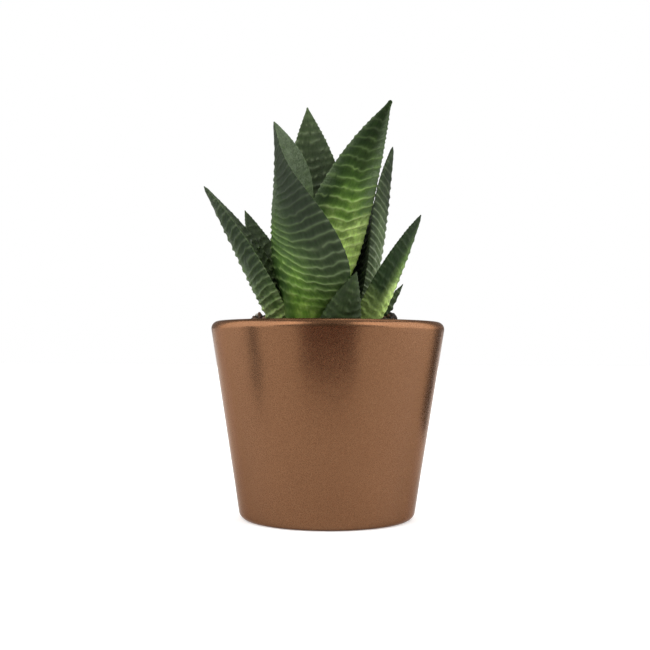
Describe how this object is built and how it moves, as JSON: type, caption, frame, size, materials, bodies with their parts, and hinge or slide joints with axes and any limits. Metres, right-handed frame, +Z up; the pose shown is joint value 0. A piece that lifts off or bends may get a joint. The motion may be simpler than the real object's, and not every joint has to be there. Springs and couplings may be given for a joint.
{
  "type": "potted haworthia",
  "caption": "Small succulent with thick pointed leaves banded by raised cross ridges, growing in soil in a tapered round pot with a metallic copper glaze.",
  "frame": {"origin": "middle of the pot's flat underside, on the pot's axis", "axes": "+Z up along the pot's axis, -Y towards the viewer of the picture, +X to that viewer's right"},
  "size_m": [0.0719, 0.07, 0.1288],
  "materials": {
    "copper_glaze": "satin metallic copper glaze with a fine speckle",
    "potting_soil": "loose dark crumbs",
    "stem_tissue": "pale matt plant tissue",
    "leaf_tissue": "satin waxy leaf, darker at the tip, with pale raised cross ridges"
  },
  "bodies": {
    "root": {"pot": "copper_glaze", "soil": "potting_soil", "stem": "stem_tissue", "leaf_centre": "leaf_tissue", "leaf_tall_right": "leaf_tissue", "leaf_front_left": "leaf_tissue", "leaf_tall_back": "leaf_tissue", "leaf_right": "leaf_tissue", "leaf_left": "leaf_tissue", "leaf_front_right": "leaf_tissue", "leaf_back_left": "leaf_tissue", "leaf_back_right": "leaf_tissue", "leaf_back_outer": "leaf_tissue", "leaf_front_small": "leaf_tissue", "leaf_right_small": "leaf_tissue"}
  },
  "joints": []
}
